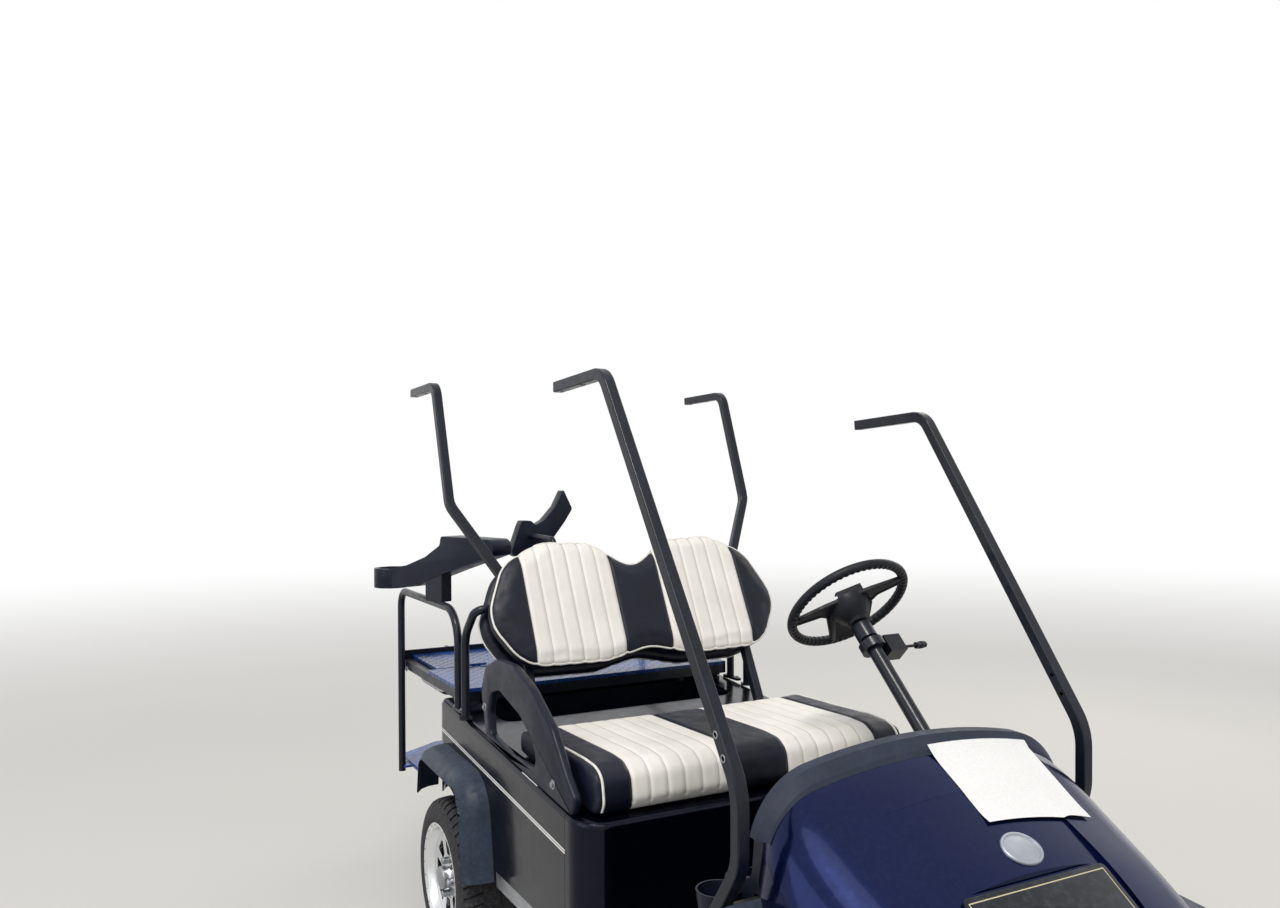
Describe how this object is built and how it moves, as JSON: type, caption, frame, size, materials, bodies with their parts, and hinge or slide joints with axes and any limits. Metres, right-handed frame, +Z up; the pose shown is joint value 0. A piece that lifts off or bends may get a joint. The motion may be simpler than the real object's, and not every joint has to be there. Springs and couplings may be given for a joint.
{
  "type": "four-seat golf cart",
  "caption": "Open golf cart with a bench seat, a fold-over rear seat deck, rear foot plate, bent roof struts and no roof.",
  "frame": {"origin": "on the ground under the middle of the front axle", "axes": "+Z up, -Y towards the front, +X towards the driver's side"},
  "size_m": [1.2691, 3.089, 1.7883],
  "materials": {
    "battery_case": "moulded case",
    "blue_body": "metallic navy clearcoat",
    "bright_strip": "brushed",
    "dark_trim": "grained moulding",
    "deck_blue": "gloss blue",
    "flare_plastic": "satin moulding",
    "floor_mat": "ribbed mat",
    "frame_steel": "satin black paint",
    "plate_metal": "satin plate",
    "seat_vinyl": "ivory and navy vinyl",
    "strut_paint": "blue black powder coat",
    "tyre": "worn rubber",
    "wheel_grip": "grained grip",
    "wheel_metal": "polished"
  },
  "bodies": {
    "chassis": {"bag_well": "dark_trim", "battery_block": "battery_case", "cowl_brow": "dark_trim", "dash_panel": "dark_trim", "deck_fixed_panel": "deck_blue", "deck_frame": "strut_paint", "floor_pan": "floor_mat", "foot_plate": "deck_blue", "frame_rails": "frame_steel", "front_bumper": "dark_trim", "front_cowl": "blue_body", "front_flares": "flare_plastic", "front_struts": "strut_paint", "front_suspension": "frame_steel", "hip_restraint": "dark_trim", "kit_side_frames": "strut_paint", "nameplate": "plate_metal", "pedals": "dark_trim", "rear_armrests": "dark_trim", "rear_axle": "frame_steel", "rear_body": "blue_body", "rear_flares": "flare_plastic", "rear_seat_back": "seat_vinyl", "rear_struts": "strut_paint", "rocker_strips": "bright_strip", "seat_back": "seat_vinyl", "seat_back_brackets": "strut_paint", "seat_pod_front": "blue_body", "steering_column": "strut_paint"},
    "knuckle_passenger": {"front_knuckle_passenger": "frame_steel"},
    "knuckle_driver": {"front_knuckle_driver": "frame_steel"},
    "tie_rod": {"tie_rod": "frame_steel"},
    "steering_wheel": {"steering_wheel": "wheel_grip"},
    "seat_cushion": {"seat_cushion": "seat_vinyl"},
    "folding_deck": {"deck_fold_panel": "deck_blue", "fold_cushion": "seat_vinyl"},
    "front_wheel_passenger": {"tyre_front_passenger": "tyre", "rim_front_passenger": "wheel_metal"},
    "front_wheel_driver": {"tyre_front_driver": "tyre", "rim_front_driver": "wheel_metal"},
    "rear_wheel_passenger": {"tyre_rear_passenger": "tyre", "rim_rear_passenger": "wheel_metal"},
    "rear_wheel_driver": {"tyre_rear_driver": "tyre", "rim_rear_driver": "wheel_metal"}
  },
  "joints": [
    {"name": "steering_wheel_turn", "type": "hinge", "parent": "chassis", "child": "steering_wheel", "pos_m": [0.248, 0.734, 1.131], "axis": [0, 0.7071, 0.7071], "range_deg": [-360, 360]},
    {"name": "steer_passenger", "type": "hinge", "parent": "chassis", "child": "knuckle_passenger", "pos_m": [-0.38, 0, 0.239], "axis": [0, 0, 1], "range_deg": [-25, 25]},
    {"name": "steer_driver", "type": "hinge", "parent": "chassis", "child": "knuckle_driver", "pos_m": [0.38, 0, 0.239], "axis": [0, 0, 1], "range_deg": [-25, 25]},
    {"name": "tie_rod_slide", "type": "slide", "parent": "chassis", "child": "tie_rod", "axis": [-1, 0, 0], "range_m": [-0.0389, 0.0389]},
    {"name": "front_spin_passenger", "type": "hinge", "parent": "knuckle_passenger", "child": "front_wheel_passenger", "pos_m": [-0.48, 0, 0.239], "axis": [1, 0, 0], "continuous": true},
    {"name": "front_spin_driver", "type": "hinge", "parent": "knuckle_driver", "child": "front_wheel_driver", "pos_m": [0.48, 0, 0.239], "axis": [1, 0, 0], "continuous": true},
    {"name": "rear_spin_passenger", "type": "hinge", "parent": "chassis", "child": "rear_wheel_passenger", "pos_m": [-0.4965, 1.664, 0.239], "axis": [1, 0, 0], "continuous": true},
    {"name": "rear_spin_driver", "type": "hinge", "parent": "chassis", "child": "rear_wheel_driver", "pos_m": [0.4965, 1.664, 0.239], "axis": [1, 0, 0], "continuous": true},
    {"name": "seat_cushion_tip", "type": "hinge", "parent": "chassis", "child": "seat_cushion", "pos_m": [0, 0.79, 0.668], "axis": [1, 0, 0], "range_deg": [0, 50]},
    {"name": "deck_fold", "type": "hinge", "parent": "chassis", "child": "folding_deck", "pos_m": [0, 2.12, 0.8005], "axis": [1, 0, 0], "range_deg": [0, 180]}
  ],
  "couplings": [
    {"joint": "steer_passenger", "follows": "steering_wheel_turn", "ratio": 0.069444},
    {"joint": "steer_driver", "follows": "steering_wheel_turn", "ratio": 0.069444},
    {"joint": "tie_rod_slide", "follows": "steering_wheel_turn", "m_per_rad": 0.0061752}
  ]
}
